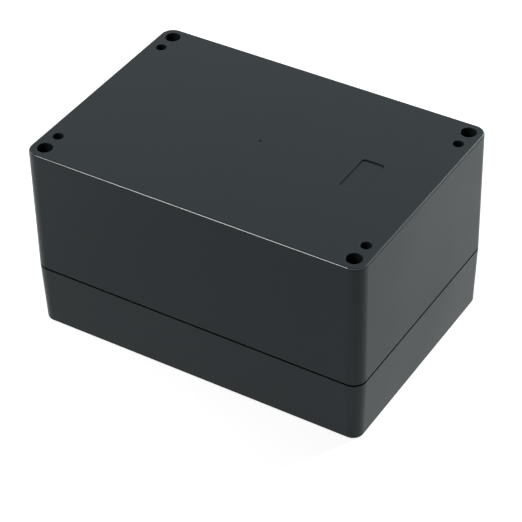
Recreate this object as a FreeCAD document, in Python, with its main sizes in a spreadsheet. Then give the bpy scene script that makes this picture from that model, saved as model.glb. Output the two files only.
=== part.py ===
import FreeCAD, Part
import os
import Sketcher

# Plastic project box, in millimetres, standing on its lid with its back up.
# The parting line lies in a level plane. The lid is below it and the base above it.
# X runs along the box, Y across it, and Z = 0 is the plane that the lid stands on.

SIZES = {
    # Outside of the box, at the parting line
    "BoxLength": 160.0,
    "BoxWidth": 110.0,
    "BoxHeight": 90.0,
    "LidHeight": 30.0,
    "CornerRadius": 6.0,
    "RimRadius": 0.9,
    # Draft of the walls, away from the parting line
    "BaseDraft": 0.1,
    "LidDraft": 2.0,
    "CavityDraft": 0.3,
    # Shadow gap along the parting line, shared by the two rims
    "ShadowGapHeight": 1.0,
    "ShadowGapDepth": 0.85,
    # Walls and inner corners
    "BaseWall": 3.0,
    "BackThickness": 3.0,
    "LidWall": 3.6,
    "LidThickness": 3.0,
    "InnerChamfer": 0.8,
    # Seal: groove in the lid, tongue on the base, rubber between them
    "SealInset": 2.1,
    "SealCornerRadius": 4.0,
    "GrooveWidth": 1.5,
    "GrooveDepth": 3.5,
    "TongueWidth": 0.9,
    "TongueHeight": 1.6,
    "GasketClearance": 0.1,
    # Corner columns
    "ScrewInset": 6.6,
    "MountOffset": 9.4,
    "ColumnWall": 2.4,
    # Lid screws
    "ShankDiameter": 3.9,
    "ScrewLength": 25.0,
    "HeadDiameter": 7.0,
    "HeadHeight": 2.6,
    "HeadChamfer": 0.8,
    "TipChamfer": 0.6,
    "RecessArm": 4.2,
    "RecessSlot": 1.1,
    "DriveDepth": 1.7,
    # Wells for the screws in the lid
    "WellClearance": 0.3,
    "WellChamfer": 0.4,
    "WebThickness": 4.0,
    "WebHoleClearance": 0.3,
    "RingPocketDiameter": 7.6,
    # Retaining rings
    "RingWidth": 1.4,
    "RingThickness": 1.4,
    "RingBelowSeam": 2.5,
    "RunningClearance": 0.05,
    # Threaded inserts
    "InsertDiameter": 5.6,
    "InsertLength": 7.7,
    "InsertSink": 0.3,
    "InsertFit": 0.02,
    "InsertGrooveDepth": 0.45,
    "InsertGrooveWidth": 1.1,
    "InsertPilotLength": 1.3,
    "InsertPilotStep": 0.2,
    "TipHoleClearance": 0.15,
    "TipSpace": 4.0,
    # Blind cores in the back, behind the inserts
    "BackCoreDiameter": 7.0,
    "BackCoreWeb": 4.0,
    # Mounting holes beside the screws
    "MountHoleDiameter": 4.8,
    "MountWellDiameter": 8.6,
    "MountFloor": 4.0,
    "MountCoreDiameter": 7.6,
    "MountCoreFloor": 3.0,
    # Bosses for a circuit board, placed from the columns and the long walls
    "BossColumnGap": 7.8,
    "BossWallGap": 5.5,
    "BossDiameter": 7.0,
    "BaseBossHeight": 8.0,
    "LidBossHeight": 6.0,
    "BossHoleDiameter": 2.5,
    "BossHoleFloor": 1.0,
    # Marks in the back
    "LabelCentreX": 49.7,
    "LabelWidth": 10.4,
    "LabelLength": 21.0,
    "LabelRadius": 1.8,
    "LabelDepth": 0.4,
    "GateCentreX": 1.5,
    "GateDiameter": 1.4,
    "GateDepth": 0.3,
}

# Sides of the four corners, in order round the box
CORNERS = [(1, 1), (-1, 1), (-1, -1), (1, -1)]

# Sizes that follow from others, as the expressions that the model is bound by
SEAM = "Sizes.LidHeight"
BACK = "Sizes.BoxHeight"
SCREW_X = "(Sizes.BoxLength / 2 - Sizes.ScrewInset)"
SCREW_Y = "(Sizes.BoxWidth / 2 - Sizes.ScrewInset)"
MOUNT_Y = f"({SCREW_Y} - Sizes.MountOffset)"
SCREW_WELL = "(Sizes.HeadDiameter + 2 * Sizes.WellClearance)"
INSERT_DEPTH = "(Sizes.InsertSink + Sizes.InsertLength)"
SCREW_SEAT = f"({SEAM} + {INSERT_DEPTH} - Sizes.ScrewLength)"
BASE_CAVITY_INSET = "(Sizes.BaseWall - Sizes.SealInset)"
LID_CAVITY_INSET = "(Sizes.LidWall - Sizes.SealInset)"
HALF_GAP = "(Sizes.ShadowGapHeight / 2)"
BOSS_REACH = "(Sizes.BossDiameter / 2 + Sizes.BossColumnGap)"
BOSS_X = f"({SCREW_X} - {SCREW_WELL} / 2 - Sizes.ColumnWall - {BASE_CAVITY_INSET} - {BOSS_REACH})"
BOSS_Y = "(Sizes.BoxWidth / 2 - Sizes.BaseWall - Sizes.BossDiameter / 2 - Sizes.BossWallGap)"

# Inset of an outline that lies 1 mm outside the walls, for cuts that run out of them
CLEAR_OF_WALLS = "-1"

# Largest coordinate that counts as zero, and largest height by which a flat edge may differ
TINY = 1e-9
FLAT = 1e-4


def make_document():
    """Open the document and fill the sheet that drives it."""
    document = FreeCAD.newDocument("ProjectBox")
    sheet = document.addObject("Spreadsheet::Sheet", "Sizes")
    for row, (alias, size) in enumerate(SIZES.items(), start=1):
        sheet.set(f"A{row}", alias)
        sheet.set(f"B{row}", str(size))
        sheet.setAlias(f"B{row}", alias)
    document.recompute()
    return document


def make_body(document, label):
    """Start one sub-part."""
    body = document.addObject("PartDesign::Body", label)
    body.Label = label
    return body


def make_sketch(body, name, level="0", role="XY_Plane"):
    """Start a sketch on one of the body's own planes, raised to a level."""
    sketch = body.newObject("Sketcher::SketchObject", name)
    plane = [item for item in body.Origin.OriginFeatures if item.Role == role][0]
    sketch.AttachmentSupport = [(plane, "")]
    sketch.MapMode = "FlatFace"
    if level != "0":
        sketch.setExpression("AttachmentOffset.Base.z", level)
    return sketch


def number(sketch, text):
    """Value of an expression, as a plain number."""
    return float(sketch.evalExpression(text))


def bind(sketch, constraint, text):
    """Add a sized constraint and bind it to its expression."""
    index = sketch.addConstraint(constraint)
    sketch.setExpression(f"Constraints[{index}]", text)


def place(sketch, geometry, end, direction, text):
    """Hold one coordinate of a point at the distance from the origin that an expression gives."""
    distance = number(sketch, text)
    if abs(distance) < TINY:
        axis = {"X": -2, "Y": -1}[direction]
        sketch.addConstraint(Sketcher.Constraint("PointOnObject", geometry, end, axis))
    elif distance > 0:
        held = Sketcher.Constraint(f"Distance{direction}", -1, 1, geometry, end, distance)
        bind(sketch, held, text)
    else:
        held = Sketcher.Constraint(f"Distance{direction}", geometry, end, -1, 1, -distance)
        bind(sketch, held, f"-({text})")


def draw_circle(sketch, across, up, diameter):
    """Draw a circle at a place and with a diameter given as expressions."""
    centre = FreeCAD.Vector(number(sketch, across), number(sketch, up), 0)
    radius = number(sketch, diameter) / 2
    circle = sketch.addGeometry(Part.Circle(centre, FreeCAD.Vector(0, 0, 1), radius))
    bind(sketch, Sketcher.Constraint("Diameter", circle, 2 * radius), diameter)
    place(sketch, circle, 3, "X", across)
    place(sketch, circle, 3, "Y", up)


def draw_corner_circles(sketch, across, up, diameter):
    """Draw the same circle in all four corners."""
    for side_x, side_y in CORNERS:
        draw_circle(sketch, f"{side_x} * {across}", f"{side_y} * {up}", diameter)


def draw_polygon(sketch, corners):
    """Draw a closed outline of straight edges through corners given as pairs of expressions."""
    points = [FreeCAD.Vector(number(sketch, x), number(sketch, y), 0) for x, y in corners]
    edges = []
    for start, end in zip(points, points[1:] + points[:1]):
        edges.append(sketch.addGeometry(Part.LineSegment(start, end)))
    for edge, following in zip(edges, edges[1:] + edges[:1]):
        sketch.addConstraint(Sketcher.Constraint("Coincident", edge, 2, following, 1))
    for edge, (x, y) in zip(edges, corners):
        place(sketch, edge, 1, "X", x)
        place(sketch, edge, 1, "Y", y)


def draw_outline(sketch, corners):
    """Draw a closed outline of level and upright edges with a tangent arc in each corner.

    Each corner is the expressions of its X, its Y and its radius. They run anticlockwise.
    """
    points = [FreeCAD.Vector(number(sketch, x), number(sketch, y), 0) for x, y, _ in corners]
    radii = [number(sketch, radius) for _, _, radius in corners]
    following = [(index + 1) % len(corners) for index in range(len(corners))]
    headings = [(points[after] - points[index]).normalize() for index, after in enumerate(following)]
    edges = []
    for index, after in enumerate(following):
        start = points[index] + headings[index] * radii[index]
        end = points[after] - headings[index] * radii[after]
        edge = sketch.addGeometry(Part.LineSegment(start, end))
        level = abs(headings[index].y) < TINY
        sketch.addConstraint(Sketcher.Constraint("Horizontal" if level else "Vertical", edge))
        if level:
            place(sketch, edge, 1, "Y", corners[index][1])
        else:
            place(sketch, edge, 1, "X", corners[index][0])
        edges.append(edge)
    for index, (_, _, radius_text) in enumerate(corners):
        arriving, leaving = headings[index - 1], headings[index]
        left = arriving.x * leaving.y - arriving.y * leaving.x > 0
        radius = radii[index]
        first = points[index] - arriving * radius
        last = points[index] + leaving * radius
        centre = first + leaving * radius
        middle = centre + (arriving - leaving) * (radius / 2 ** 0.5)
        curve = Part.Arc(first, middle, last) if left else Part.Arc(last, middle, first)
        arc = sketch.addGeometry(curve)
        near, far = (1, 2) if left else (2, 1)
        sketch.addConstraint(Sketcher.Constraint("Tangent", edges[index - 1], 2, arc, near))
        sketch.addConstraint(Sketcher.Constraint("Tangent", arc, far, edges[index], 1))
        bind(sketch, Sketcher.Constraint("Radius", arc, radius), radius_text)


def box_corners(inset="0"):
    """Corners of the box's outline at the parting line, drawn in by an inset."""
    half_x = f"(Sizes.BoxLength / 2 - {inset})"
    half_y = f"(Sizes.BoxWidth / 2 - {inset})"
    radius = f"(Sizes.CornerRadius - {inset})"
    return [(f"{side_x} * {half_x}", f"{side_y} * {half_y}", radius) for side_x, side_y in CORNERS]


def seal_corners(inset="0"):
    """Corners of the seal's line, which passes inside the four corner columns, drawn in by an inset."""
    reach = f"({SCREW_WELL} / 2 + Sizes.ColumnWall)"
    outer_x = f"(Sizes.BoxLength / 2 - Sizes.SealInset - {inset})"
    outer_y = f"(Sizes.BoxWidth / 2 - Sizes.SealInset - {inset})"
    notch_x = f"({SCREW_X} - {reach} - {inset})"
    notch_y = f"({MOUNT_Y} - {reach} - {inset})"
    outward = f"(Sizes.SealCornerRadius - {inset})"
    inward = f"(Sizes.SealCornerRadius + {inset})"
    corners = []
    for side_x, side_y in CORNERS:
        turn = [
            (f"{side_x} * {outer_x}", f"{side_y} * {notch_y}", outward),
            (f"{side_x} * {notch_x}", f"{side_y} * {notch_y}", inward),
            (f"{side_x} * {notch_x}", f"{side_y} * {outer_y}", outward),
        ]
        corners += turn if side_x == side_y else reversed(turn)
    return corners


def add_feature(body, kind, name, sketch, length, flipped=False, taper=None):
    """Pad or pocket a sketch and confirm that it added or cut material."""
    before = body.Shape.Volume if body.Tip else 0.0
    feature = body.newObject(f"PartDesign::{kind}", name)
    feature.Profile = sketch
    feature.Reversed = flipped
    feature.setExpression("Length", length)
    if taper:
        feature.setExpression("TaperAngle", taper)
    body.Document.recompute()
    gained = body.Shape.Volume - before
    if gained * (1 if kind == "Pad" else -1) <= 0:
        raise RuntimeError(f"{body.Label}: {name} changed the volume by {gained:.3f} mm3")
    return feature


def add_corner_holes(body, name, level, across, up, diameter, depth, upward):
    """Cut the same round hole in all four corners, from a level."""
    sketch = make_sketch(body, f"{name}Sketch", level)
    draw_corner_circles(sketch, across, up, diameter)
    return add_feature(body, "Pocket", name, sketch, depth, flipped=upward)


def edges_at(body, height, circles=False):
    """Names of the body's edges that lie flat at a height, or of its full circles there."""
    names = []
    for index, edge in enumerate(body.Shape.Edges, start=1):
        box = edge.BoundBox
        flat = abs(box.ZMin - height) < FLAT and abs(box.ZMax - height) < FLAT
        if flat and (edge.isClosed() or not circles):
            names.append(f"Edge{index}")
    return names


def add_edge_feature(body, kind, name, edges, size_name, size):
    """Round or chamfer some edges of the body's last feature."""
    if not edges:
        raise RuntimeError(f"{body.Label}: {name} found no edges")
    base = body.Tip
    feature = body.newObject(f"PartDesign::{kind}", name)
    feature.Base = (base, edges)
    feature.setExpression(size_name, size)
    body.Document.recompute()
    return feature


def cut_shadow_gap(body, upward):
    """Set this rim back along the outside by half of the shadow gap."""
    sketch = make_sketch(body, "ShadowGapSketch", SEAM)
    draw_outline(sketch, box_corners(CLEAR_OF_WALLS))
    draw_outline(sketch, box_corners("Sizes.ShadowGapDepth"))
    add_feature(body, "Pocket", "ShadowGap", sketch, HALF_GAP, flipped=upward)


def add_bosses(body, floor, height, upward):
    """Stand four board bosses with blind pilot holes on a floor."""
    sketch = make_sketch(body, "BossSketch", floor)
    draw_corner_circles(sketch, BOSS_X, BOSS_Y, "Sizes.BossDiameter")
    add_feature(body, "Pad", "Bosses", sketch, height, flipped=not upward)
    end = f"({floor} + {height})" if upward else f"({floor} - {height})"
    hole = "Sizes.BossHoleDiameter"
    depth = f"({height} - Sizes.BossHoleFloor)"
    add_corner_holes(body, "BossHoles", end, BOSS_X, BOSS_Y, hole, depth, not upward)


def build_base_shell(document):
    """The deep half of the box, with its back up."""
    body = make_body(document, "base_shell")
    back_inside = f"({BACK} - Sizes.BackThickness)"

    sketch = make_sketch(body, "OutlineSketch", SEAM)
    draw_outline(sketch, box_corners())
    add_feature(body, "Pad", "Outline", sketch, f"{BACK} - {SEAM}", taper="-Sizes.BaseDraft")
    back_level = number(sketch, BACK)
    add_edge_feature(body, "Fillet", "RimRound", edges_at(body, back_level), "Radius", "Sizes.RimRadius")

    sketch = make_sketch(body, "CavitySketch", SEAM)
    draw_outline(sketch, seal_corners(BASE_CAVITY_INSET))
    depth = f"{back_inside} - {SEAM}"
    add_feature(body, "Pocket", "Cavity", sketch, depth, flipped=True, taper="-Sizes.CavityDraft")
    floor_edges = edges_at(body, number(sketch, back_inside))
    add_edge_feature(body, "Chamfer", "CavityChamfer", floor_edges, "Size", "Sizes.InnerChamfer")

    sketch = make_sketch(body, "TongueSketch", SEAM)
    draw_outline(sketch, seal_corners("-Sizes.TongueWidth / 2"))
    draw_outline(sketch, seal_corners("Sizes.TongueWidth / 2"))
    add_feature(body, "Pad", "Tongue", sketch, "Sizes.TongueHeight", flipped=True)
    cut_shadow_gap(body, upward=True)
    add_bosses(body, back_inside, "Sizes.BaseBossHeight", upward=False)

    # Corner columns: insert and screw tip from the rim, core from the back
    insert_hole = "(Sizes.InsertDiameter + 2 * Sizes.InsertFit)"
    tip_hole = "(Sizes.ShankDiameter + 2 * Sizes.TipHoleClearance)"
    tip_depth = f"({INSERT_DEPTH} + Sizes.TipSpace)"
    core_depth = f"{BACK} - {SEAM} - {tip_depth} - Sizes.BackCoreWeb"
    add_corner_holes(body, "InsertHoles", SEAM, SCREW_X, SCREW_Y, insert_hole, INSERT_DEPTH, True)
    add_corner_holes(body, "TipHoles", SEAM, SCREW_X, SCREW_Y, tip_hole, tip_depth, True)
    add_corner_holes(body, "BackCores", BACK, SCREW_X, SCREW_Y, "Sizes.BackCoreDiameter", core_depth, False)

    # Mounting screws go in from the rim, down a well, and out through the back
    well_depth = f"{BACK} - {SEAM} - Sizes.MountFloor"
    well = "Sizes.MountWellDiameter"
    add_corner_holes(body, "MountWells", SEAM, SCREW_X, MOUNT_Y, well, well_depth, True)
    hole = "Sizes.MountHoleDiameter"
    add_corner_holes(body, "MountHoles", BACK, SCREW_X, MOUNT_Y, hole, "Sizes.MountFloor", False)

    # Marks of the mould in the back: a shallow blank for a label and the gate
    sketch = make_sketch(body, "LabelSketch", BACK)
    half_width = "Sizes.LabelWidth / 2"
    label = []
    for side_x, side_y in CORNERS:
        across = f"Sizes.LabelCentreX + {side_x} * {half_width}"
        label.append((across, f"{side_y} * Sizes.LabelLength / 2", "Sizes.LabelRadius"))
    draw_outline(sketch, label)
    add_feature(body, "Pocket", "LabelBlank", sketch, "Sizes.LabelDepth")
    sketch = make_sketch(body, "GateSketch", BACK)
    draw_circle(sketch, "Sizes.GateCentreX", "0", "Sizes.GateDiameter")
    add_feature(body, "Pocket", "Gate", sketch, "Sizes.GateDepth")
    return body


def build_lid(document):
    """The shallow half of the box, with its face down."""
    body = make_body(document, "lid")

    sketch = make_sketch(body, "OutlineSketch", SEAM)
    draw_outline(sketch, box_corners())
    add_feature(body, "Pad", "Outline", sketch, SEAM, flipped=True, taper="-Sizes.LidDraft")
    add_edge_feature(body, "Fillet", "FaceRound", edges_at(body, 0), "Radius", "Sizes.RimRadius")

    sketch = make_sketch(body, "CavitySketch", SEAM)
    draw_outline(sketch, seal_corners(LID_CAVITY_INSET))
    depth = f"{SEAM} - Sizes.LidThickness"
    add_feature(body, "Pocket", "Cavity", sketch, depth, taper="-Sizes.CavityDraft")
    floor_edges = edges_at(body, number(sketch, "Sizes.LidThickness"))
    add_edge_feature(body, "Chamfer", "CavityChamfer", floor_edges, "Size", "Sizes.InnerChamfer")

    sketch = make_sketch(body, "GrooveSketch", SEAM)
    draw_outline(sketch, seal_corners("-Sizes.GrooveWidth / 2"))
    draw_outline(sketch, seal_corners("Sizes.GrooveWidth / 2"))
    add_feature(body, "Pocket", "SealGroove", sketch, "Sizes.GrooveDepth")
    cut_shadow_gap(body, upward=False)
    add_bosses(body, "Sizes.LidThickness", "Sizes.LidBossHeight", upward=True)

    # Screw columns: head well from the face, ring pocket from the rim, web between them
    web_hole = "(Sizes.ShankDiameter + 2 * Sizes.WebHoleClearance)"
    pocket_depth = f"{SEAM} - {SCREW_SEAT} - Sizes.WebThickness"
    pocket = "Sizes.RingPocketDiameter"
    add_corner_holes(body, "ScrewWells", "0", SCREW_X, SCREW_Y, SCREW_WELL, SCREW_SEAT, True)
    mouths = edges_at(body, 0, circles=True)
    add_edge_feature(body, "Chamfer", "WellMouths", mouths, "Size", "Sizes.WellChamfer")
    add_corner_holes(body, "RingPockets", SEAM, SCREW_X, SCREW_Y, pocket, pocket_depth, False)
    add_corner_holes(body, "WebHoles", SEAM, SCREW_X, SCREW_Y, web_hole, f"{SEAM} - {SCREW_SEAT}", False)

    # Blind cores that meet the base's mounting wells
    core = "Sizes.MountCoreDiameter"
    core_depth = f"{SEAM} - Sizes.MountCoreFloor"
    add_corner_holes(body, "MountCores", SEAM, SCREW_X, MOUNT_Y, core, core_depth, False)
    return body


def build_gasket(document):
    """Rubber strip lying in the lid's groove, under the base's tongue."""
    body = make_body(document, "gasket")
    groove_floor = f"({SEAM} - Sizes.GrooveDepth)"
    half_width = "(Sizes.GrooveWidth / 2 - Sizes.GasketClearance)"
    sketch = make_sketch(body, "StripSketch", groove_floor)
    draw_outline(sketch, seal_corners(f"-{half_width}"))
    draw_outline(sketch, seal_corners(half_width))
    add_feature(body, "Pad", "Strip", sketch, "Sizes.GrooveDepth - Sizes.TongueHeight")
    return body


def revolve(body, name, profile):
    """Turn a straight-edged profile of radii and heights about the body's upright axis."""
    sketch = make_sketch(body, f"{name}Sketch", role="XZ_Plane")
    draw_polygon(sketch, profile)
    feature = body.newObject("PartDesign::Revolution", name)
    feature.Profile = sketch
    feature.ReferenceAxis = (sketch, ["V_Axis"])
    feature.Angle = 360
    body.Document.recompute()
    return feature


def stand_at_corner(item, side_x, side_y, level):
    """Place a sub-part on the screw's axis in one corner."""
    item.setExpression("Placement.Base.x", f"{side_x} * {SCREW_X}")
    item.setExpression("Placement.Base.y", f"{side_y} * {SCREW_Y}")
    item.setExpression("Placement.Base.z", level)


def build_lid_screw(document, index, side_x, side_y):
    """Cheese head screw with its head down in the lid and its shank up into the insert."""
    body = make_body(document, f"lid_screw_{index}")
    head = "Sizes.HeadDiameter / 2"
    shank = "Sizes.ShankDiameter / 2"
    profile = [
        ("0", "-Sizes.HeadHeight"),
        (f"{head} - Sizes.HeadChamfer", "-Sizes.HeadHeight"),
        (head, "Sizes.HeadChamfer - Sizes.HeadHeight"),
        (head, "0"),
        (shank, "0"),
        (shank, "Sizes.ScrewLength - Sizes.TipChamfer"),
        (f"{shank} - Sizes.TipChamfer", "Sizes.ScrewLength"),
        ("0", "Sizes.ScrewLength"),
    ]
    revolve(body, "Blank", profile)

    sketch = make_sketch(body, "CrossSketch", "-Sizes.HeadHeight")
    draw_polygon(sketch, cross_corners("Sizes.RecessArm / 2", "Sizes.RecessSlot / 2"))
    add_feature(body, "Pocket", "CrossRecess", sketch, "Sizes.DriveDepth", flipped=True)
    stand_at_corner(body, side_x, side_y, SCREW_SEAT)
    return body


def cross_corners(arm, slot):
    """Corners of an upright cross from its half reach and half slot width."""
    corners = []
    for side_x, side_y in CORNERS:
        turn = [
            (f"{side_x} * {arm}", f"{side_y} * {slot}"),
            (f"{side_x} * {slot}", f"{side_y} * {slot}"),
            (f"{side_x} * {slot}", f"{side_y} * {arm}"),
        ]
        corners += turn if side_x == side_y else reversed(turn)
    return corners


def build_retaining_ring(document, index, side_x, side_y):
    """Rubber ring on the screw's shank, in the lid's ring pocket."""
    body = make_body(document, f"retaining_ring_{index}")
    bore = "Sizes.ShankDiameter / 2 + Sizes.RunningClearance"
    outside = f"{bore} + Sizes.RingWidth"
    half = "Sizes.RingThickness / 2"
    profile = [
        (bore, f"-{half}"),
        (outside, f"-{half}"),
        (outside, half),
        (bore, half),
    ]
    revolve(body, "Ring", profile)
    stand_at_corner(body, side_x, side_y, f"{SEAM} - Sizes.RingBelowSeam")
    return body


def build_threaded_insert(document, index, side_x, side_y):
    """Brass insert with a smooth pilot, two gripping bands and a groove between them."""
    body = make_body(document, f"threaded_insert_{index}")
    bore = "Sizes.ShankDiameter / 2 + Sizes.RunningClearance"
    outside = "Sizes.InsertDiameter / 2"
    pilot = f"{outside} - Sizes.InsertPilotStep"
    groove = f"{outside} - Sizes.InsertGrooveDepth"
    length = "Sizes.InsertLength"
    pilot_level = f"{length} - Sizes.InsertPilotLength"
    groove_start = f"({pilot_level} - Sizes.InsertGrooveWidth) / 2"
    groove_end = f"({pilot_level} + Sizes.InsertGrooveWidth) / 2"
    profile = [
        (bore, "0"),
        (outside, "0"),
        (outside, groove_start),
        (groove, groove_start),
        (groove, groove_end),
        (outside, groove_end),
        (outside, pilot_level),
        (pilot, pilot_level),
        (pilot, length),
        (bore, length),
    ]
    revolve(body, "Turned", profile)
    stand_at_corner(body, side_x, side_y, f"{SEAM} + Sizes.InsertSink")
    return body


def build_box(document):
    """Build every sub-part of the box."""
    parts = [build_base_shell(document), build_lid(document), build_gasket(document)]
    for index, (side_x, side_y) in enumerate(CORNERS, start=1):
        parts.append(build_lid_screw(document, index, side_x, side_y))
        parts.append(build_retaining_ring(document, index, side_x, side_y))
        parts.append(build_threaded_insert(document, index, side_x, side_y))
    document.recompute()
    return parts


def check_document(document, parts):
    """Stop if any object failed or any sub-part has no valid shape."""
    for item in document.Objects:
        if "Invalid" in item.State or "Error" in item.State:
            raise RuntimeError(f"{item.Name} failed: {item.State}")
    for part in parts:
        if part.Shape.isNull() or not part.Shape.isValid() or len(part.Shape.Solids) != 1:
            raise RuntimeError(f"{part.Label} isn't one valid solid")


def write_parts(parts):
    """Write one file for each sub-part."""
    os.makedirs("parts", exist_ok=True)
    for part in parts:
        part.Shape.exportStep(f"parts/{part.Label}.step")
        box = part.Shape.BoundBox
        print(f"{part.Label}: {part.Shape.Volume:.1f} mm3, Z {box.ZMin:.2f} to {box.ZMax:.2f}")


document = make_document()
parts = build_box(document)
check_document(document, parts)
write_parts(parts)
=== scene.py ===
"""Looks of a plastic project box: moulded shells, seal, captive lid screws and inserts, in a plain studio."""

import logging
import math
from dataclasses import dataclass, field
from enum import Enum

import bmesh
import bpy
from mathutils import Matrix, Vector


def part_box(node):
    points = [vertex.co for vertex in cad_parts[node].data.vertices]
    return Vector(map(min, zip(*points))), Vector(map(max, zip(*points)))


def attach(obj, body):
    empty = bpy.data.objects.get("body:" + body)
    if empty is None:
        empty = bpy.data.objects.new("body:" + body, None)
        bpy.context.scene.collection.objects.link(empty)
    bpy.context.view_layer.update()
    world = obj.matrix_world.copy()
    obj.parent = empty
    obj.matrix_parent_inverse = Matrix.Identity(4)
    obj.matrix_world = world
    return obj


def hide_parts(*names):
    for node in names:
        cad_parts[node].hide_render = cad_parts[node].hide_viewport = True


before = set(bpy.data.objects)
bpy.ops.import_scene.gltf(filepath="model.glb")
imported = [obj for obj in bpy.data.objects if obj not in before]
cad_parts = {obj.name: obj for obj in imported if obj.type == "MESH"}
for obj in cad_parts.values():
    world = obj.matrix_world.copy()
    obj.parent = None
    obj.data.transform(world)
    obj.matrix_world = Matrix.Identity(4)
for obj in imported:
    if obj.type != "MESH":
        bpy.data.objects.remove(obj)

MM = 0.001
TURN = 2 * math.pi
CORNERS = (1, 2, 3, 4)
# Camera: width of the sensor in millimetres and of the picture in pixels
SENSOR = 36.0
PHOTO_WIDTH = 522
NOISE_MIDDLE = 0.5
# Points closer than this are one point, in a copied solid and in a sleeve
MERGE_REACH = 0.001 * MM
SLEEVE_MERGE_REACH = 0.002 * MM
# In degrees: faces that bend by less are one face, and edges that bend by more are rounded
FLAT_ANGLE = 1
ROUNDED_ANGLE = 40
# Rows of faces along a sleeve: for each turn of a thread, and where it is plain
ROWS_PER_TURN = 6
PLAIN_ROWS = 2
log = logging.getLogger("project_box")

Triple = tuple[float, float, float]
Colour = Triple
Profile = list[tuple[float, float]]
# A Value, or a plain number, vector, colour or name
Given = object


class Body(Enum):
    """Bodies of the model that the pieces ride on."""

    LID = "lid"
    BASE = "base"
    RING = "ring"
    SCREW = "screw"

    def at(self, corner: int) -> str:
        """Name of this body in one corner.

        Args:
            corner: Number of the corner, from 1 to 4.

        Returns:
            The body's name in the model.
        """
        return f"{self.value}_{corner}"


class Slot(Enum):
    """Material slots that the replaced nodes have."""

    SEAL = "seal_rubber"
    STEEL = "screw_steel"
    RING = "ring_rubber"
    BRASS = "insert_brass"


def from_screen(red: float, green: float, blue: float) -> Colour:
    """Turn a colour as a screen shows it into the light that it stands for.

    Args:
        red: Red, from 0 to 255.
        green: Green, from 0 to 255.
        blue: Blue, from 0 to 255.

    Returns:
        The colour in linear light, from 0 to 1.
    """

    def linear(level: float) -> float:
        """Linear light of one channel, by the sRGB curve."""
        share = level / 255
        return share / 12.92 if share <= 0.04045 else ((share + 0.055) / 1.055) ** 2.4

    return linear(red), linear(green), linear(blue)


class Value:
    """A node's socket that takes part in plain arithmetic."""

    def __init__(self, graph: "Graph", socket: bpy.types.NodeSocket) -> None:
        """Wrap a socket.

        Args:
            graph: Graph that the socket's node belongs to.
            socket: The output socket.
        """
        self.graph = graph
        self.socket = socket

    def __add__(self, other: Given) -> "Value":
        """Sum of this and another value."""
        return self.graph.maths("ADD", self, other)

    def __radd__(self, other: Given) -> "Value":
        """Sum of another value and this."""
        return self.graph.maths("ADD", other, self)

    def __sub__(self, other: Given) -> "Value":
        """This less another value."""
        return self.graph.maths("SUBTRACT", self, other)

    def __rsub__(self, other: Given) -> "Value":
        """Another value less this."""
        return self.graph.maths("SUBTRACT", other, self)

    def __mul__(self, other: Given) -> "Value":
        """Product of this and another value."""
        return self.graph.maths("MULTIPLY", self, other)

    def __rmul__(self, other: Given) -> "Value":
        """Product of another value and this."""
        return self.graph.maths("MULTIPLY", other, self)

    def __truediv__(self, other: Given) -> "Value":
        """This divided by another value."""
        return self.graph.maths("DIVIDE", self, other)

    def __rtruediv__(self, other: Given) -> "Value":
        """Another value divided by this."""
        return self.graph.maths("DIVIDE", other, self)

    def __gt__(self, other: Given) -> "Value":
        """1 where this is the larger, and 0 elsewhere."""
        return self.graph.maths("GREATER_THAN", self, other)

    def __lt__(self, other: Given) -> "Value":
        """1 where this is the smaller, and 0 elsewhere."""
        return self.graph.maths("LESS_THAN", self, other)


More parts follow.
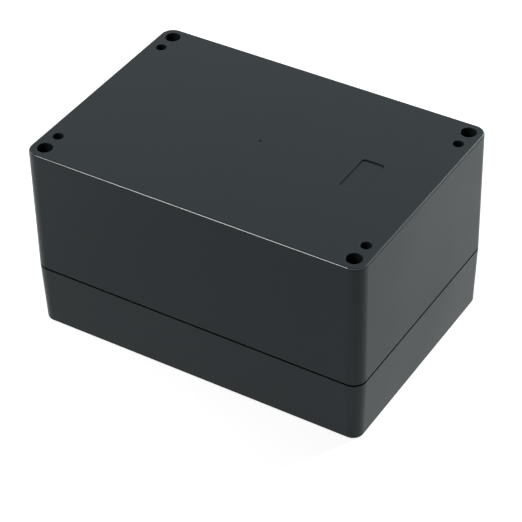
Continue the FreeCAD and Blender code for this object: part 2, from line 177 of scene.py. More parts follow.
class Graph:
    """A node tree that is written as expressions."""

    def __init__(self, tree: bpy.types.NodeTree) -> None:
        """Start from a tree.

        Args:
            tree: Shader or geometry tree that the nodes go in.
        """
        self.tree = tree

    def feed(self, socket: bpy.types.NodeSocket, given: Given) -> None:
        """Link or set one input.

        Args:
            socket: The input socket.
            given: A Value to link, or a plain value to set.
        """
        if isinstance(given, Value):
            self.tree.links.new(given.socket, socket)
        elif isinstance(given, tuple) and len(given) == 3 and socket.type == "RGBA":
            socket.default_value = (*given, 1.0)
        else:
            socket.default_value = given

    def add(
        self,
        kind: str,
        settings: dict[str, Given] | None = None,
        inputs: dict[str | int, Given] | None = None,
    ) -> bpy.types.Node:
        """Add any node.

        Args:
            kind: The node's type.
            settings: Its properties, set before its sockets.
            inputs: Values or links of its input sockets, by name or place.

        Returns:
            The node.
        """
        made = self.tree.nodes.new(kind)
        for name, setting in (settings or {}).items():
            setattr(made, name, setting)
        for key, given in (inputs or {}).items():
            self.feed(made.inputs[key], given)
        return made

    def node(
        self,
        kind: str,
        settings: dict[str, Given] | None = None,
        inputs: dict[str | int, Given] | None = None,
        output: str | int = 0,
    ) -> Value:
        """Add any node and take one of its outputs.

        Args:
            kind: The node's type.
            settings: Its properties, set before its sockets.
            inputs: Values or links of its input sockets, by name or place.
            output: Name or place of the output that is wanted.

        Returns:
            That output.
        """
        return Value(self, self.add(kind, settings, inputs).outputs[output])

    def maths(self, operation: str, *operands: Given) -> Value:
        """Add a Math node.

        Args:
            operation: What the node does.
            operands: Its values or links, in order.

        Returns:
            The result.
        """
        return self.node("ShaderNodeMath", {"operation": operation}, dict(enumerate(operands)))

    def share(self, amount: Given) -> Value:
        """Keep an amount between 0 and 1.

        Args:
            amount: The amount.

        Returns:
            The amount, cut off below 0 and above 1.
        """
        return self.maths("MINIMUM", self.maths("MAXIMUM", amount, 0.0), 1.0)

    def vector(self, operation: str, *operands: Given, output: str | int = 0) -> Value:
        """Add a Vector Math node.

        Args:
            operation: What the node does.
            operands: Its values or links, in order.
            output: Name or place of the output that is wanted.

        Returns:
            The result.
        """
        return self.node("ShaderNodeVectorMath", {"operation": operation}, dict(enumerate(operands)), output)

    def blend(self, share: Given, first: Given, second: Given) -> Value:
        """Mix two colours.

        Args:
            share: How much of the second colour there is.
            first: Colour at a share of 0.
            second: Colour at a share of 1.

        Returns:
            The mixed colour.
        """
        return self.node(
            "ShaderNodeMix",
            {"data_type": "RGBA"},
            {"Factor": share, 6: first, 7: second},
            output=2,
        )

    def in_view(self) -> Value:
        """1 for rays that show the background, straight, mirrored or through glass, and 0 for light.

        Returns:
            The share.
        """
        path = self.add("ShaderNodeLightPath")
        camera, glossy, through = (
            Value(self, path.outputs[f"Is {kind} Ray"]) for kind in ("Camera", "Glossy", "Transmission")
        )
        return self.maths("MAXIMUM", self.maths("MAXIMUM", camera, glossy), through)


class SurfaceGraph(Graph):
    """Shader tree of one material."""

    def __init__(self, name: str) -> None:
        """Start an empty material.

        Args:
            name: The material's name.
        """
        self.material = bpy.data.materials.new(name)
        self.material.use_nodes = True
        self.material.node_tree.nodes.clear()
        super().__init__(self.material.node_tree)

    def noise(self, scale: Triple, detail: float = 2.0, roughness: float = 0.5) -> Value:
        """Noise that is fixed to the object.

        Args:
            scale: Cells for each metre, along each axis.
            detail: Number of finer layers.
            roughness: Strength of the finer layers.

        Returns:
            The noise, from 0 to 1.
        """
        place = self.node("ShaderNodeTexCoord", output="Object")
        stretched = self.node("ShaderNodeMapping", inputs={"Vector": place, "Scale": scale})
        return self.node(
            "ShaderNodeTexNoise",
            inputs={"Vector": stretched, "Scale": 1.0, "Detail": detail, "Roughness": roughness},
        )

    def bump(self, height: Given, distance: float, strength: float, normal: Value | None = None) -> Value:
        """Relief that is too fine to model.

        Args:
            height: Relief, from 0 to 1.
            distance: Depth of the relief, in metres.
            strength: Share of the relief that shows.
            normal: Normal that it starts from, or None for the surface's own.

        Returns:
            The new normal.
        """
        inputs = {"Height": height, "Distance": distance, "Strength": strength}
        if normal:
            inputs["Normal"] = normal
        return self.node("ShaderNodeBump", inputs=inputs)

    def close(self, shader: Value) -> bpy.types.Material:
        """Join a shader to the material's output.

        Args:
            shader: The surface's shader.

        Returns:
            The finished material.
        """
        self.add("ShaderNodeOutputMaterial", inputs={"Surface": shader})
        return self.material


@dataclass(frozen=True)
class MouldedPlastic:
    """Dark plastic from a spark-eroded mould, satin, a little polished along its edges."""

    name: str = "dark_moulded_plastic"
    # Colour and relief: patterns in cells for each metre, and how much each one counts
    colour: Colour = from_screen(36, 42, 45.5)
    tone_change: float = 0.06
    clouds: float = 22.0
    cloud_share: float = 0.65
    speckle: float = 900.0
    grain: float = 3200.0
    grain_layering: float = 0.6
    grain_share: float = 0.7
    grain_depth: float = 0.012 * MM
    grain_strength: float = 0.5
    # Satin sheen
    roughness: float = 0.36
    roughness_change: float = 0.10
    cloud_roughness: float = 0.12
    specular: float = 0.16
    sheen_tint: Colour = (0.86, 0.99, 1.0)
    # Edges, rounded and rubbed a little paler and smoother
    edge_reach: float = 0.35 * MM
    edge_samples: int = 4
    edge_sharpness: float = 4.0
    edge_least: float = 0.4
    edge_gain: float = 0.35
    edge_gloss: float = 0.08
    # Painted shade in gaps and inner corners: darker colour where ambient occlusion finds them, and duller;
    # the gate mark keeps little of it
    crevice_reach: float = 1.6 * MM
    crevice_samples: int = 8
    painted_shade_tone: float = 0.02
    crevice_from: float = 0.9
    crevice_gain: float = 5.0
    crevice_roughness: float = 0.6
    gate: Triple = (1.5 * MM, 0.0, 90 * MM)
    gate_reach: float = 1.2 * MM
    gate_shade_cut: float = 0.9
    # Polish of the outer rounded edges, strongest where the normal's upright share is the lean
    polish: float = 0.95
    polish_roughness: float = 0.12
    polish_index: float = 1.85
    polish_lean: float = 0.69
    polish_spread: float = 0.11
    polish_slope: float = 1.6
    # Half of the upright block that counts as inside, and how far from it the outside begins
    core: Triple = (74 * MM, 49 * MM, 1.0)
    core_to_outside: float = 3.9 * MM

    def toned(self, factor: float) -> Colour:
        """The plastic's colour, lighter or darker by a factor."""
        return tuple(channel * factor for channel in self.colour)

    def polished(self, graph: SurfaceGraph) -> Value:
        """Share of polish: all of it on the rounded outer edges of the shells, and none inside them.

        Args:
            graph: The material's graph.

        Returns:
            The share, from 0 to 1.
        """
        facing = graph.node("ShaderNodeTexCoord", output="Normal")
        upright = graph.maths("ABSOLUTE", graph.node("ShaderNodeSeparateXYZ", inputs={0: facing}, output="Z"))
        off_lean = graph.maths("ABSOLUTE", upright - self.polish_lean)
        rounding = graph.share(self.polish_slope - off_lean * (self.polish_slope / self.polish_spread))
        place = graph.vector("ABSOLUTE", graph.node("ShaderNodeTexCoord", output="Object"))
        beyond = graph.vector("MAXIMUM", graph.vector("SUBTRACT", place, self.core), (0.0, 0.0, 0.0))
        outside = graph.vector("LENGTH", beyond, output="Value") > self.core_to_outside
        return rounding * outside

    def painted_crevice_shade(self, graph: SurfaceGraph) -> Value:
        """Share of painted shade in narrow gaps and inner corners, found by ambient occlusion, and little of
        it in the gate mark.

        Args:
            graph: The material's graph.

        Returns:
            The share, from 0 to 1.
        """
        openness = graph.node(
            "ShaderNodeAmbientOcclusion",
            {"samples": self.crevice_samples},
            {"Distance": self.crevice_reach},
            output="AO",
        )
        shut = graph.share((self.crevice_from - openness) * self.crevice_gain)
        place = graph.node("ShaderNodeTexCoord", output="Object")
        at_gate = graph.vector("DISTANCE", place, self.gate, output="Value") < self.gate_reach
        return shut * (1 - self.gate_shade_cut * at_gate)

    def material(self) -> bpy.types.Material:
        """Build the finish.

        Returns:
            The material.
        """
        graph = SurfaceGraph(self.name)
        clouds = graph.noise((self.clouds,) * 3, detail=3.0)
        speckle = graph.noise((self.speckle,) * 3, detail=1.0)
        grain = graph.noise((self.grain,) * 3, detail=2.0, roughness=self.grain_layering)

        rounded = graph.node("ShaderNodeBevel", {"samples": self.edge_samples}, {"Radius": self.edge_reach})
        own = graph.node("ShaderNodeNewGeometry", output="Normal")
        alike = graph.vector("DOT_PRODUCT", rounded, own, output="Value")
        corner = graph.maths("MINIMUM", (1 - alike) * self.edge_sharpness, 1.0)
        edge = corner * (self.edge_least + (1 - self.edge_least) * speckle)

        tone = self.cloud_share * clouds + (1 - self.cloud_share) * speckle
        darker, lighter = self.toned(1 - self.tone_change), self.toned(1 + self.tone_change)
        colour = graph.blend(edge, graph.blend(tone, darker, lighter), self.toned(1 + self.edge_gain))
        painted_crevice_shade = self.painted_crevice_shade(graph)
        # Painted shade: the colour darkens nearly to black in gaps and inner corners
        colour = graph.blend(painted_crevice_shade, colour, self.toned(self.painted_shade_tone))
        roughness = (
            self.roughness
            + self.roughness_change * (grain - NOISE_MIDDLE)
            - self.edge_gloss * edge
            + self.cloud_roughness * (clouds - NOISE_MIDDLE)
            + self.crevice_roughness * painted_crevice_shade
        )
        relief = self.grain_share * grain + (1 - self.grain_share) * speckle
        normal = graph.bump(relief, self.grain_depth, self.grain_strength, rounded)
        shader = graph.node(
            "ShaderNodeBsdfPrincipled",
            inputs={
                "Base Color": colour,
                "Roughness": roughness,
                "Specular IOR Level": self.specular,
                "Specular Tint": self.sheen_tint,
                "Coat Weight": self.polish * self.polished(graph),
                "Coat Roughness": self.polish_roughness,
                "Coat IOR": self.polish_index,
                "Normal": normal,
            },
        )
        return graph.close(shader)


@dataclass(frozen=True)
class Rubber:
    """Black moulded rubber with a bloom that changes over its surface."""

    name: str
    colour: Colour
    bloom: Colour
    patches: float = 260.0
    patch_layering: float = 0.65
    grain: float = 5200.0
    grain_depth: float = 0.01 * MM
    grain_strength: float = 0.6
    roughness: float = 0.62
    roughness_change: float = 0.2

    def material(self) -> bpy.types.Material:
        """Build the finish.

        Returns:
            The material.
        """
        graph = SurfaceGraph(self.name)
        patches = graph.noise((self.patches,) * 3, detail=4.0, roughness=self.patch_layering)
        grain = graph.noise((self.grain,) * 3, detail=1.0)
        shader = graph.node(
            "ShaderNodeBsdfPrincipled",
            inputs={
                "Base Color": graph.blend(patches * patches, self.colour, self.bloom),
                "Roughness": self.roughness + self.roughness_change * (patches - NOISE_MIDDLE),
                "Normal": graph.bump(grain, self.grain_depth, self.grain_strength),
            },
        )
        return graph.close(shader)


@dataclass(frozen=True)
class TurnedMetal:
    """Metal with the fine rings of a lathe or of thread rolling, and a few duller patches."""

    name: str
    colour: Colour
    dull: Colour
    roughness: float
    rings: float = 9000.0
    ring_depth: float = 0.004 * MM
    ring_strength: float = 0.4
    ring_roughness: float = 0.1
    patches: float = 420.0
    patch_roughness: float = 0.22

    def material(self) -> bpy.types.Material:
        """Build the finish.

        Returns:
            The material.
        """
        graph = SurfaceGraph(self.name)
        rings = graph.noise((self.patches, self.patches, self.rings), detail=1.0)
        patches = graph.noise((self.patches,) * 3, detail=3.0)
        dulling = self.patch_roughness * (patches - NOISE_MIDDLE)
        turning = self.ring_roughness * (rings - NOISE_MIDDLE)
        shader = graph.node(
            "ShaderNodeBsdfPrincipled",
            inputs={
                "Base Color": graph.blend(patches, self.colour, self.dull),
                "Metallic": 1.0,
                "Roughness": self.roughness + dulling + turning,
                "Normal": graph.bump(rings, self.ring_depth, self.ring_strength),
            },
        )
        return graph.close(shader)


@dataclass
class Finishes:
    """Every finish of the object, built once."""

    plastic: bpy.types.Material = field(init=False)
    seal: bpy.types.Material = field(init=False)
    ring: bpy.types.Material = field(init=False)
    steel: bpy.types.Material = field(init=False)
    brass: bpy.types.Material = field(init=False)

    def __post_init__(self) -> None:
        """Build the materials."""
        self.plastic = MouldedPlastic().material()
        self.seal = Rubber("black_seal_rubber", from_screen(34, 34, 36), from_screen(62, 62, 64)).material()
        self.ring = Rubber("black_ring_rubber", from_screen(30, 30, 30), from_screen(52, 52, 52)).material()
        steel, dull_steel = from_screen(205, 205, 202), from_screen(176, 176, 174)
        self.steel = TurnedMetal("stainless_steel", steel, dull_steel, roughness=0.27).material()
        brass, dull_brass = from_screen(214, 178, 104), from_screen(184, 146, 80)
        self.brass = TurnedMetal("turned_brass", brass, dull_brass, roughness=0.3).material()


def new_object(name: str, mesh: bpy.types.Mesh) -> bpy.types.Object:
    """Show a mesh in the scene.

    Args:
        name: The object's name.
        mesh: Its mesh.

    Returns:
        The object, at the origin.
    """
    made = bpy.data.objects.new(name, mesh)
    bpy.context.scene.collection.objects.link(made)
    return made


def settled(shown: bpy.types.Object, name: str) -> bpy.types.Mesh:
    """Turn an object's modifiers into a plain mesh and remove the object.

    Args:
        shown: The object with its modifiers.
        name: Name of the new mesh.

    Returns:
        The plain mesh.
    """
    bpy.context.view_layer.update()
    evaluated = shown.evaluated_get(bpy.context.evaluated_depsgraph_get())
    mesh = bpy.data.meshes.new_from_object(evaluated)
    mesh.name = name
    shown.modifiers.clear()
    bpy.data.objects.remove(shown)
    return mesh


def meshed(form: bmesh.types.BMesh, name: str) -> bpy.types.Mesh:
    """Write a form to a new mesh and let the form go.

    Args:
        form: The form.
        name: Name of the new mesh.

    Returns:
        The mesh.
    """
    mesh = bpy.data.meshes.new(name)
    form.to_mesh(mesh)
    form.free()
    return mesh


def joined(name: str, meshes: list[bpy.types.Mesh], shift: Vector) -> bpy.types.Mesh:
    """Put several meshes in one and move it to its place.

    Args:
        name: Name of the new mesh.
        meshes: The meshes, about an upright axis through the origin.
        shift: Where that axis stands.

    Returns:
        The new mesh.
    """
    form = bmesh.new()
    for mesh in meshes:
        form.from_mesh(mesh)
    bmesh.ops.translate(form, verts=form.verts, vec=shift)
    return meshed(form, name)


def finished(piece: bpy.types.Object, material: bpy.types.Material, sharp: float) -> None:
    """Shade a piece smooth up to an angle and give it its material.

    Args:
        piece: The piece.
        material: Its material.
        sharp: Smallest angle that stays a sharp edge, in degrees.
    """
    piece.data.materials.clear()
    piece.data.materials.append(material)
    piece.data.shade_smooth()
    piece.data.set_sharp_from_angle(angle=math.radians(sharp))


def stand_in(piece: bpy.types.Object, node: str, body: str) -> None:
    """Let a piece stand for a node of the model.

    Args:
        piece: The finished piece.
        node: The node that it replaces.
        body: The body that it rides on.
    """
    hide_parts(node)
    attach(piece, body)
    log.info("%s: %d faces on %s", piece.name, len(piece.data.polygons), body)


def turned(profile: Profile, segments: int) -> bmesh.types.BMesh:
    """Turn a profile about the upright axis into a closed form.

    Args:
        profile: Radii and heights from one pole on the axis to the other.
        segments: Number of faces round the axis.

    Returns:
        The form.
    """
    form = bmesh.new()
    rings = []
    for radius, height in profile:
        if radius == 0:
            rings.append([form.verts.new((0, 0, height))])
            continue
        ring = []
        for step in range(segments):
            angle = TURN * step / segments
            ring.append(form.verts.new((radius * math.cos(angle), radius * math.sin(angle), height)))
        rings.append(ring)
    for lower, upper in zip(rings, rings[1:]):
        for step in range(segments):
            after = (step + 1) % segments
            if len(lower) == 1:
                form.faces.new((lower[0], upper[after], upper[step]))
            elif len(upper) == 1:
                form.faces.new((lower[step], lower[after], upper[0]))
            else:
                form.faces.new((lower[step], lower[after], upper[after], upper[step]))
    bmesh.ops.recalc_face_normals(form, faces=form.faces)
    return form


def softened(node: str, width: float, rings: int) -> bpy.types.Mesh:
    """Copy a node of the model, merge its loose triangles and round its edges.

    Args:
        node: The node.
        width: Width of the rounding, in metres.
        rings: Number of faces across the rounding.

    Returns:
        The rounded mesh.
    """
    form = bmesh.new()
    form.from_mesh(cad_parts[node].data)
    bmesh.ops.remove_doubles(form, verts=form.verts, dist=MERGE_REACH)
    bmesh.ops.dissolve_limit(form, angle_limit=math.radians(FLAT_ANGLE), verts=form.verts, edges=form.edges)
    shown = new_object(f"{node}_form", meshed(form, f"{node}_form"))
    bevel = shown.modifiers.new("Rounding", "BEVEL")
    bevel.width = width
    bevel.segments = rings
    bevel.limit_method = "ANGLE"
    bevel.angle_limit = math.radians(ROUNDED_ANGLE)
    return settled(shown, f"{node}_rounded")


class RidgedSleeve:
    """Geometry tree of a sleeve whose outside and bore can carry helical ridges: a thread or a knurl."""

    SIZES = (
        ("Outer Radius", 1.95 * MM),
        ("Outer Depth", 0.0),
        ("Outer Starts", 1.0),
        ("Outer Lead", 0.7 * MM),
        ("Bore Radius", 1.0 * MM),
        ("Bore Depth", 0.0),
        ("Bore Starts", 1.0),
        ("Bore Lead", 0.7 * MM),
        ("Start", 0.0),
        ("Length", 10 * MM),
        ("Run Out", 0.5 * MM),
    )
    COUNTS = (("Columns", 48), ("Rows", 64), ("Bore Rows", PLAIN_ROWS))
    # Steepness of a ridge's flanks, and how much of it the flat valley takes
    RIDGE_SLOPE = 2.5
    VALLEY = 0.15

    def __init__(self) -> None:
        """Build the tree."""
        self.tree = bpy.data.node_groups.new("RidgedSleeve", "GeometryNodeTree")
        self.identifiers: dict[str, str] = {}
        for name, size in self.SIZES:
            self.add_input(name, "NodeSocketFloat", size)
        for name, count in self.COUNTS:
            self.add_input(name, "NodeSocketInt", count)
        self.add_input("Material", "NodeSocketMaterial", None)
        self.tree.interface.new_socket("Geometry", in_out="OUTPUT", socket_type="NodeSocketGeometry")
        self.graph = Graph(self.tree)
        self.given = self.graph.add("NodeGroupInput")
        self.build()

    def add_input(self, name: str, kind: str, default: Given) -> None:
        """Add a named input to the tree.

        Args:
            name: The input's name.
            kind: Its socket type.
            default: Its value at first, or None.
        """
        socket = self.tree.interface.new_socket(name, in_out="INPUT", socket_type=kind)
        if default is not None:
            socket.default_value = default
        self.identifiers[name] = socket.identifier

    def input(self, name: str) -> Value:
        """Value of one of the tree's inputs."""
        return Value(self.graph, self.given.outputs[name])

    def ridge(self, side: str, share: Value, height: Value) -> Value:
        """Height of the ridges on one side, from 0 in a valley to 1 on a crest.

        Args:
            side: "Outer" or "Bore".
            share: Place round the axis, from 0 to 1.
            height: Place along the axis, in metres.

        Returns:
            The ridges, with flat crests and valleys.
        """
        phase = height / self.input(f"{side} Lead") - share * self.input(f"{side} Starts")
        across = self.graph.maths("FRACT", phase) - 0.5
        return self.graph.share(self.graph.maths("ABSOLUTE", across) * self.RIDGE_SLOPE - self.VALLEY)

    def build(self) -> None:
        """Make the sleeve from a grid: outside upwards, then the bore downwards, closed at both ends."""
        graph = self.graph
        columns, rows, bore_rows = (self.input(name) for name in ("Columns", "Rows", "Bore Rows"))
        grid = graph.node(
            "GeometryNodeMeshGrid",
            inputs={
                "Size X": 1.0,
                "Size Y": 1.0,
                "Vertices X": columns + 1,
                "Vertices Y": rows + bore_rows + 1,
            },
        )
        place = graph.node("GeometryNodeInputPosition")
        split = graph.add("ShaderNodeSeparateXYZ", inputs={0: place})
        # The grid is 1 wide about its middle: across it is the way round, and its rows are counted from 0
        share = Value(graph, split.outputs["X"]) + 0.5
        row = graph.maths("ROUND", (Value(graph, split.outputs["Y"]) + 0.5) * (rows + bore_rows))

        # The first rows climb the outside, the next ones go down the bore, and the last one closes the foot
        outside = row < rows - 0.5
        closing = row > rows + bore_rows - 0.5
        upwards = row / (rows - 1)
        downwards = 1 - (row - rows) / (bore_rows - 1)
        level = (outside * upwards + (1 - outside) * downwards) * (1 - closing)
        length = self.input("Length")
        height = level * length
        margin = graph.share(graph.maths("MINIMUM", height, length - height) / self.input("Run Out"))
        absolute = height + self.input("Start")

        crest = self.ridge("Outer", share, absolute) * margin
        outer = self.input("Outer Radius") - self.input("Outer Depth") * (1 - crest)
        root = self.ridge("Bore", share, absolute)
        bore = self.input("Bore Radius") + self.input("Bore Depth") * (1 - root)
        on_outside = graph.maths("MAXIMUM", outside, closing)
        radius = on_outside * outer + (1 - on_outside) * bore
        angle = share * TURN
        point = graph.node(
            "ShaderNodeCombineXYZ",
            inputs={
                "X": radius * graph.maths("COSINE", angle),
                "Y": radius * graph.maths("SINE", angle),
                "Z": absolute,
            },
        )
        shaped = graph.node("GeometryNodeSetPosition", inputs={"Geometry": grid, "Position": point})
        merged = graph.node(
            "GeometryNodeMergeByDistance",
            inputs={"Geometry": shaped, "Distance": SLEEVE_MERGE_REACH},
        )
        realised = graph.node("GeometryNodeRealizeInstances", inputs={"Geometry": merged})
        coloured = graph.node(
            "GeometryNodeSetMaterial",
            inputs={"Geometry": realised, "Material": self.input("Material")},
        )
        graph.add("NodeGroupOutput", inputs={"Geometry": coloured})

    def mesh(self, name: str, material: bpy.types.Material, **sizes: float) -> bpy.types.Mesh:
        """Make one sleeve.

        Args:
            name: Name of the new mesh.
            material: Its material.
            sizes: The tree's inputs, with underscores for spaces.

        Returns:
            The sleeve's plain mesh about the upright axis, its faces outwards.
        """
        shown = new_object(name, bpy.data.meshes.new(name))
        modifier = shown.modifiers.new("Sleeve", "NODES")
        modifier.node_group = self.tree
        modifier[self.identifiers["Material"]] = material
        for word, size in sizes.items():
            modifier[self.identifiers[word.replace("_", " ").title()]] = size
        mesh = settled(shown, name)
        form = bmesh.new()
        form.from_mesh(mesh)
        bmesh.ops.recalc_face_normals(form, faces=form.faces)
        form.to_mesh(mesh)
        form.free()
        return mesh


@dataclass
class Housing:
    """The two moulded shells, whose solids already have their full form."""

    shells: tuple[str, ...] = ("base_shell", "lid")

    def dress(self, finishes: Finishes) -> None:
        """Give the shells their plastic.

        Args:
            finishes: The object's finishes.
        """
        for name in self.shells:
            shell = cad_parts[name]
            for slot in shell.material_slots:
                slot.material = finishes.plastic
            log.info("%s: dressed in %s", name, finishes.plastic.name)


@dataclass
class Seal:
    """Rubber strip in the lid's groove, with rounded lips."""

    lip: float = 0.35 * MM
    rings: int = 3
    sharp: float = 50.0

    def build(self, finishes: Finishes) -> None:
        """Make the strip.

        Args:
            finishes: The object's finishes.
        """
        piece = new_object("seal_strip", softened("gasket", self.lip, self.rings))
        finished(piece, finishes.seal, self.sharp)
        stand_in(piece, "gasket", Body.LID.value)


@dataclass
class RetainingRing:
    """Rubber ring that keeps a screw in the lid."""

    corner: int
    rounding: float = 0.45 * MM
    rings: int = 4
    sharp: float = 50.0

    def build(self, finishes: Finishes) -> None:
        """Make the ring.

        Args:
            finishes: The object's finishes.
        """
        node = f"retaining_ring_{self.corner}"
        piece = new_object(f"rubber_ring_{self.corner}", softened(node, self.rounding, self.rings))
        finished(piece, finishes.ring, self.sharp)
        stand_in(piece, node, Body.RING.at(self.corner))


@dataclass
class LidScrew:
    """Cheese head screw with a cross recess, a plain shank and a rolled thread at its end."""

    corner: int
    sleeve: RidgedSleeve
    head_radius: float = 3.5 * MM
    head_height: float = 2.6 * MM
    head_chamfer: float = 0.8 * MM
    # Softening of the head's edges, and its two legs where it meets the chamfer
    edge: float = 0.12 * MM
    edge_long: float = 0.7
    edge_short: float = 0.4
    shank_radius: float = 1.95 * MM
    thread_radius: float = 1.93 * MM
    thread_depth: float = 0.42 * MM
    thread_length: float = 12.0 * MM
    thread_core: float = 0.5 * MM
    thread_columns: int = 32
    pitch: float = 0.7 * MM
    tip_chamfer: float = 0.6 * MM
    # Cross recess: half its span and half the width of its slots, scaled at the mouth and the floor
    recess_reach: float = 2.05 * MM
    recess_slot: float = 0.52 * MM
    recess_depth: float = 1.65 * MM
    recess_overshoot: float = 0.2 * MM
    recess_mouth: float = 1.06
    recess_taper: float = 0.62
    segments: int = 64
    sharp: float = 32.0

    @property
    def node(self) -> str:
        """Name of the screw's node."""
        return f"lid_screw_{self.corner}"

    def blank(self, length: float) -> bmesh.types.BMesh:
        """Turned blank, head down, its seat at height 0.

        Args:
            length: Length of the screw under its head.

        Returns:
            The blank.
        """
        top = -self.head_height
        crown = self.head_radius - self.head_chamfer
        soft = self.edge
        core = self.thread_radius - self.thread_depth
        thread_start = length - self.thread_length
        profile = [
            (0, top),
            (crown - soft, top),
            (crown + soft * self.edge_long, top + soft * self.edge_short),
            (self.head_radius - soft * self.edge_short, top + self.head_chamfer - soft * self.edge_long),
            (self.head_radius, top + self.head_chamfer + soft),
            (self.head_radius, -soft),
            (self.head_radius - soft, 0),
            (self.shank_radius + soft, 0),
            (self.shank_radius, soft),
            (self.shank_radius, thread_start - self.thread_depth),
            (core, thread_start),
            (core, length - self.tip_chamfer / 2),
            (core - self.tip_chamfer / 2, length),
            (0, length),
        ]
        return turned(profile, self.segments)

    def cutter(self) -> bpy.types.Object:
        """Tapered cross that cuts the recess.

        Returns:
            The cross, as an object.
        """
        form = bmesh.new()
        top = -self.head_height
        mouth = (top - self.recess_overshoot, self.recess_mouth)
        floor = (top + self.recess_depth, self.recess_taper)
        loops = []
        for height, scale in (mouth, floor):
            reach, slot = self.recess_reach * scale, self.recess_slot * scale
            loop = []
            for quarter in range(4):
                turn = Matrix.Rotation(quarter * TURN / 4, 4, "Z")
                for x, y in ((reach, -slot), (reach, slot), (slot, slot)):
                    loop.append(form.verts.new(turn @ Vector((x, y, height))))
            loops.append(loop)
        lower, upper = loops
        form.faces.new(lower)
        form.faces.new(upper)
        for step in range(len(lower)):
            after = (step + 1) % len(lower)
            form.faces.new((lower[step], lower[after], upper[after], upper[step]))
        bmesh.ops.recalc_face_normals(form, faces=form.faces)
        return new_object("cross", meshed(form, "cross"))

    def build(self, finishes: Finishes) -> None:
        """Make the screw.

        Args:
            finishes: The object's finishes.
        """
        low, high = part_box(self.node)
        seat = Vector(((low.x + high.x) / 2, (low.y + high.y) / 2, low.z + self.head_height))
        length = high.z - seat.z
        shown = new_object("screw_blank", meshed(self.blank(length), "screw_blank"))
        cross = self.cutter()
        cut = shown.modifiers.new("Recess", "BOOLEAN")
        cut.operation = "DIFFERENCE"
        cut.solver = "EXACT"
        cut.object = cross
        blank = settled(shown, "screw_blank_cut")
        bpy.data.objects.remove(cross)

        thread = self.sleeve.mesh(
            "screw_thread",
            finishes.steel,
            outer_radius=self.thread_radius,
            outer_depth=self.thread_depth,
            outer_lead=self.pitch,
            bore_radius=self.thread_core,
            start=length - self.thread_length,
            length=self.thread_length - self.tip_chamfer / 2,
            run_out=self.pitch,
            columns=self.thread_columns,
            rows=ROWS_PER_TURN * round(self.thread_length / self.pitch) + 1,
            bore_rows=PLAIN_ROWS,
        )
        piece = new_object(f"captive_screw_{self.corner}", joined("captive_screw", [blank, thread], seat))
        finished(piece, finishes.steel, self.sharp)
        stand_in(piece, self.node, Body.SCREW.at(self.corner))


@dataclass
class ThreadedInsert:
    """Brass insert with two knurled bands, a groove between them, a plain pilot and a threaded bore."""

    corner: int
    sleeve: RidgedSleeve
    radius: float = 2.8 * MM
    knurl_depth: float = 0.16 * MM
    knurls: int = 24
    knurl_lead: float = 60 * MM
    knurl_rows: int = 8
    knurl_run_out: float = 0.15 * MM
    columns_per_knurl: int = 4
    groove_radius: float = 2.35 * MM
    groove_width: float = 1.1 * MM
    pilot_radius: float = 2.6 * MM
    pilot_length: float = 1.3 * MM
    bore_radius: float = 2.0 * MM
    bore_depth: float = 0.2 * MM
    pitch: float = 0.7 * MM
    sharp: float = 30.0

    @property
    def node(self) -> str:
        """Name of the insert's node."""
        return f"threaded_insert_{self.corner}"

    def band(self, start: float, end: float, radius: float, hand: int, finishes: Finishes) -> bpy.types.Mesh:
        """One length of the insert.

        Args:
            start: Height at which it starts.
            end: Height at which it ends.
            radius: Radius of its outside.
            hand: 1 or -1 for a knurl to the right or the left, and 0 for a plain outside.
            finishes: The object's finishes.

        Returns:
            The band's mesh.
        """
        bore_rows = round(ROWS_PER_TURN * (end - start) / self.pitch) + 1
        return self.sleeve.mesh(
            "insert_band",
            finishes.brass,
            outer_radius=radius,
            outer_depth=self.knurl_depth * abs(hand),
            outer_starts=float(self.knurls),
            outer_lead=self.knurl_lead / self.knurls * (hand or 1),
            bore_radius=self.bore_radius,
            bore_depth=self.bore_depth,
            bore_lead=self.pitch,
            start=start,
            length=end - start,
            run_out=self.knurl_run_out,
            columns=self.columns_per_knurl * self.knurls,
            rows=self.knurl_rows if hand else PLAIN_ROWS,
            bore_rows=max(PLAIN_ROWS, bore_rows),
        )

    def build(self, finishes: Finishes) -> None:
        """Make the insert.

        Args:
            finishes: The object's finishes.
        """
        low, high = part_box(self.node)
        length = high.z - low.z
        pilot_start = length - self.pilot_length
        groove_start = (pilot_start - self.groove_width) / 2
        groove_end = groove_start + self.groove_width
        bands = [
            self.band(0.0, groove_start, self.radius, 1, finishes),
            self.band(groove_start, groove_end, self.groove_radius, 0, finishes),
            self.band(groove_end, pilot_start, self.radius, -1, finishes),
            self.band(pilot_start, length, self.pilot_radius, 0, finishes),
        ]
        foot = Vector(((low.x + high.x) / 2, (low.y + high.y) / 2, low.z))
        piece = new_object(f"brass_insert_{self.corner}", joined("brass_insert", bands, foot))
        finished(piece, finishes.brass, self.sharp)
        stand_in(piece, self.node, Body.BASE.value)


@dataclass
class Softbox:
    """A rectangular studio light, its sizes in metres and its power in watts."""

    name: str
    place: Vector
    aim: Vector
    width: float
    height: float
    power: float
    colour: Colour = (1.0, 1.0, 1.0)

    def build(self) -> None:
        """Hang the light and turn it to what it lights."""
        lamp = bpy.data.lights.new(self.name, "AREA")
        lamp.shape = "RECTANGLE"
        lamp.size = self.width
        lamp.size_y = self.height
        lamp.energy = self.power
        lamp.color = self.colour
        holder = bpy.data.objects.new(self.name, lamp)
        holder.location = self.place
        holder.rotation_euler = (self.aim - self.place).to_track_quat("-Z", "Y").to_euler()
        bpy.context.scene.collection.objects.link(holder)


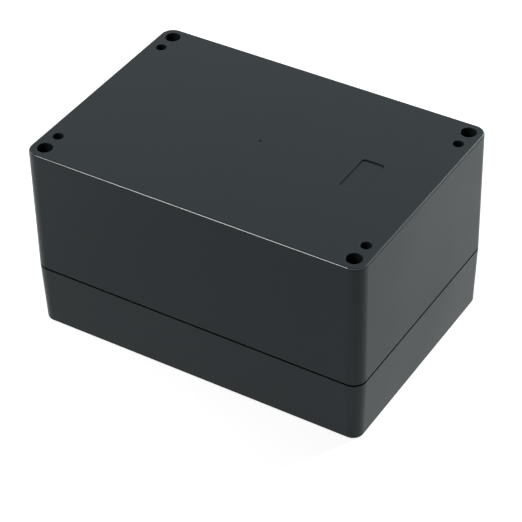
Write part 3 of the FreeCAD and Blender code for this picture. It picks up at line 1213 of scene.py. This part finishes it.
@dataclass
class Studio:
    """Pale floor, soft lights and a white room."""

    floor_reach: float = 6.0
    floor_colour: Colour = (0.8, 0.8, 0.8)
    # The ground's own glow near the object, and the distances between which it rises to white
    floor_glow: float = 0.72
    white_from: float = 0.6
    white_at: float = 1.8
    room_colour: Colour = (1.0, 1.0, 1.0)
    room_strength: float = 0.04
    centre: Vector = field(default_factory=lambda: Vector((0, 0, 0.045)))

    def floor_material(self) -> bpy.types.Material:
        """White ground that still takes the object's shadow.

        Returns:
            The material.
        """
        graph = SurfaceGraph("pale_floor")
        matt = graph.node("ShaderNodeBsdfDiffuse", inputs={"Color": self.floor_colour})
        place = graph.node("ShaderNodeTexCoord", output="Object")
        away = graph.vector("LENGTH", place, output="Value") - self.white_from
        far = graph.share(away / (self.white_at - self.white_from))
        strength = self.floor_glow + (1 - self.floor_glow) * far
        glow = graph.node("ShaderNodeEmission", inputs={"Strength": strength})
        lit = graph.node("ShaderNodeAddShader", inputs={0: matt, 1: glow})
        return graph.close(graph.node("ShaderNodeMixShader", inputs={0: graph.in_view(), 1: matt, 2: lit}))

    def build_floor(self) -> None:
        """Lay the floor."""
        reach = self.floor_reach
        mesh = bpy.data.meshes.new("floor")
        edge = [(-reach, -reach, 0), (reach, -reach, 0), (reach, reach, 0), (-reach, reach, 0)]
        mesh.from_pydata(edge, [], [(0, 1, 2, 3)])
        mesh.materials.append(self.floor_material())
        new_object("floor", mesh)

    def build_room(self) -> None:
        """Show a white room that gives only a little light."""
        world = bpy.data.worlds.new("room")
        world.use_nodes = True
        graph = Graph(world.node_tree)
        ground = world.node_tree.nodes["Background"]
        graph.feed(ground.inputs["Color"], self.room_colour)
        white = graph.in_view() * (1 - self.room_strength)
        graph.feed(ground.inputs["Strength"], white + self.room_strength)
        bpy.context.scene.world = world

    def build_lights(self) -> None:
        """Hang the lights."""
        lights = (
            Softbox(
                name="key",
                place=Vector((0.42, 1.2, 0.82)),
                aim=self.centre,
                width=0.7,
                height=0.6,
                power=20.5,
                colour=(0.93, 1.0, 0.985),
            ),
            Softbox(
                name="left_fill",
                place=Vector((-1.1, -0.1, 0.7)),
                aim=self.centre,
                width=0.6,
                height=0.6,
                power=4.2,
            ),
            Softbox(
                name="edge",
                place=Vector((-0.53, -0.79, 0.89)),
                aim=self.centre,
                width=0.36,
                height=0.36,
                power=4.6,
            ),
        )
        for light in lights:
            light.build()

    def build(self) -> None:
        """Build the whole studio."""
        self.build_floor()
        self.build_room()
        self.build_lights()
        bpy.context.scene.view_settings.view_transform = "Standard"
        log.info("studio: floor, room and lights")


@dataclass
class PhotoCamera:
    """Camera at the photograph's viewing angle."""

    # In degrees: round the object, above it, and round the camera's own axis
    turn: float = 32.166
    rise: float = 38.751
    roll: float = -1.347
    distance: float = 921.7 * MM
    focal_pixels: float = 2123.7
    aim: Vector = field(default_factory=lambda: Vector((0.0, 0.794, 25.146)) * MM)

    def build(self) -> None:
        """Place the camera."""
        turn, rise, roll = (math.radians(angle) for angle in (self.turn, self.rise, self.roll))
        level = math.cos(rise)
        back = Vector((math.sin(turn) * level, -math.cos(turn) * level, math.sin(rise)))
        right = Vector((math.cos(turn), math.sin(turn), 0.0))
        up = back.cross(right)
        rolled_right = math.cos(roll) * right + math.sin(roll) * up
        rolled_up = math.cos(roll) * up - math.sin(roll) * right
        axes = Matrix((rolled_right, rolled_up, back)).transposed().to_4x4()
        lens = bpy.data.cameras.new("photo_camera")
        lens.sensor_width = SENSOR
        lens.lens = self.focal_pixels * SENSOR / PHOTO_WIDTH
        camera = bpy.data.objects.new("photo_camera", lens)
        camera.matrix_world = Matrix.Translation(self.aim + back * self.distance) @ axes
        bpy.context.scene.collection.objects.link(camera)
        bpy.context.scene.camera = camera
        log.info("camera: %.1f mm lens", lens.lens)


def main() -> None:
    """Dress the model, build the studio and place the camera."""
    logging.basicConfig(level=logging.INFO, format="%(message)s")
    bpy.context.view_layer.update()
    finishes = Finishes()
    sleeve = RidgedSleeve()
    Housing().dress(finishes)
    Seal().build(finishes)
    for corner in CORNERS:
        RetainingRing(corner).build(finishes)
        LidScrew(corner, sleeve).build(finishes)
        ThreadedInsert(corner, sleeve).build(finishes)
    Studio().build()
    PhotoCamera().build()


if __name__ == "__main__":
    main()
